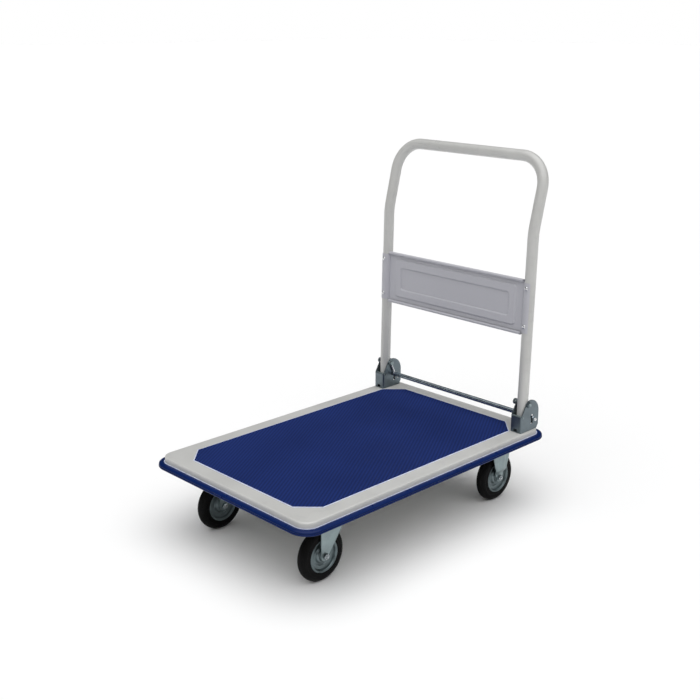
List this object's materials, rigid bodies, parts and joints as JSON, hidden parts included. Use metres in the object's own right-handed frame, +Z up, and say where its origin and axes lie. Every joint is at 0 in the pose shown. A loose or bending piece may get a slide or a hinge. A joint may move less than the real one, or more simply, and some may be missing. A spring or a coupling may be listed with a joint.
{
  "type": "folding platform cart",
  "caption": "Flat-deck hand cart: ribbed mat, bumper strip, swivel and fixed casters, and a tubular push handle with a sheet panel that folds down over the deck when a foot bar is pressed.",
  "frame": {"origin": "on the ground, under the middle of the deck's plan", "axes": "+Z up, +X towards the handle end with the fixed casters, +Y across the deck, so -X is the end with the swivel casters"},
  "size_m": [0.824, 0.545, 0.8764],
  "materials": {
    "paint": "light grey-white gloss powder coat",
    "panel_paint": "mid grey satin powder coat",
    "mat": "navy blue ribbed sheet, satin",
    "bumper": "navy blue extruded vinyl, semi-gloss",
    "zinc": "bright zinc plate, satin",
    "dark_zinc": "blue-grey zinc plate, satin",
    "tread_rubber": "black moulded rubber, satin",
    "spring_wire": "plated spring wire",
    "hub_bush": "black nylon bush"
  },
  "bodies": {
    "deck": {"deck_pan": "paint", "deck_mat": "mat", "bumper_strip": "bumper", "cross_channel_front": "paint", "cross_channel_rear": "paint", "stiffener_left": "paint", "stiffener_right": "paint", "bracket_left": "dark_zinc", "pivot_bolt_left": "zinc", "pivot_nut_left": "zinc", "stop_pin_left": "zinc", "spacer_rivet_left": "zinc", "bracket_bolt_left": "zinc", "return_spring_left": "spring_wire", "bracket_right": "dark_zinc", "pivot_bolt_right": "zinc", "pivot_nut_right": "zinc", "stop_pin_right": "zinc", "spacer_rivet_right": "zinc", "bracket_bolt_right": "zinc", "return_spring_right": "spring_wire", "front_left_top_plate": "zinc", "front_left_kingpin": "zinc", "front_right_top_plate": "zinc", "front_right_kingpin": "zinc", "rear_left_fork": "zinc", "rear_left_axle_bolt": "zinc", "rear_left_axle_nut": "zinc", "rear_right_fork": "zinc", "rear_right_axle_bolt": "zinc", "rear_right_axle_nut": "zinc"},
    "handle": {"handle_tube": "paint", "handle_panel": "panel_paint", "panel_rivet_left_lower": "zinc", "panel_rivet_left_upper": "zinc", "panel_rivet_right_lower": "zinc", "panel_rivet_right_upper": "zinc"},
    "foot_bar": {"foot_bar": "dark_zinc"},
    "front_left_swivel": {"front_left_fork": "zinc", "front_left_axle_bolt": "zinc", "front_left_axle_nut": "zinc"},
    "front_right_swivel": {"front_right_fork": "zinc", "front_right_axle_bolt": "zinc", "front_right_axle_nut": "zinc"},
    "front_left_wheel": {"front_left_tyre": "tread_rubber", "front_left_rim_left": "zinc", "front_left_rim_right": "zinc", "front_left_hub_bush": "hub_bush"},
    "front_right_wheel": {"front_right_tyre": "tread_rubber", "front_right_rim_left": "zinc", "front_right_rim_right": "zinc", "front_right_hub_bush": "hub_bush"},
    "rear_left_wheel": {"rear_left_tyre": "tread_rubber", "rear_left_rim_left": "zinc", "rear_left_rim_right": "zinc", "rear_left_hub_bush": "hub_bush"},
    "rear_right_wheel": {"rear_right_tyre": "tread_rubber", "rear_right_rim_left": "zinc", "rear_right_rim_right": "zinc", "rear_right_hub_bush": "hub_bush"}
  },
  "joints": [
    {"name": "handle_fold", "type": "hinge", "parent": "deck", "child": "handle", "pos_m": [0.3425, 0, 0.2665], "axis": [0, -1, 0], "range_deg": [0, 98.5]},
    {"name": "foot_bar_press", "type": "slide", "parent": "deck", "child": "foot_bar", "axis": [0, 0, -1], "range_m": [0, 0.015], "stiffness_N_per_m": 3000, "springref_m": -0.005, "deforming": ["return_spring_left", "return_spring_right"]},
    {"name": "front_left_swivel_turn", "type": "hinge", "parent": "deck", "child": "front_left_swivel", "pos_m": [-0.264, 0.178, 0.165], "axis": [0, 0, 1], "continuous": true},
    {"name": "front_right_swivel_turn", "type": "hinge", "parent": "deck", "child": "front_right_swivel", "pos_m": [-0.264, -0.178, 0.165], "axis": [0, 0, 1], "continuous": true},
    {"name": "front_left_wheel_spin", "type": "hinge", "parent": "front_left_swivel", "child": "front_left_wheel", "pos_m": [-0.286, 0.178, 0.0625], "axis": [0, 1, 0], "continuous": true},
    {"name": "front_right_wheel_spin", "type": "hinge", "parent": "front_right_swivel", "child": "front_right_wheel", "pos_m": [-0.286, -0.178, 0.0625], "axis": [0, 1, 0], "continuous": true},
    {"name": "rear_left_wheel_spin", "type": "hinge", "parent": "deck", "child": "rear_left_wheel", "pos_m": [0.315, 0.178, 0.0625], "axis": [0, 1, 0], "continuous": true},
    {"name": "rear_right_wheel_spin", "type": "hinge", "parent": "deck", "child": "rear_right_wheel", "pos_m": [0.315, -0.178, 0.0625], "axis": [0, 1, 0], "continuous": true}
  ]
}
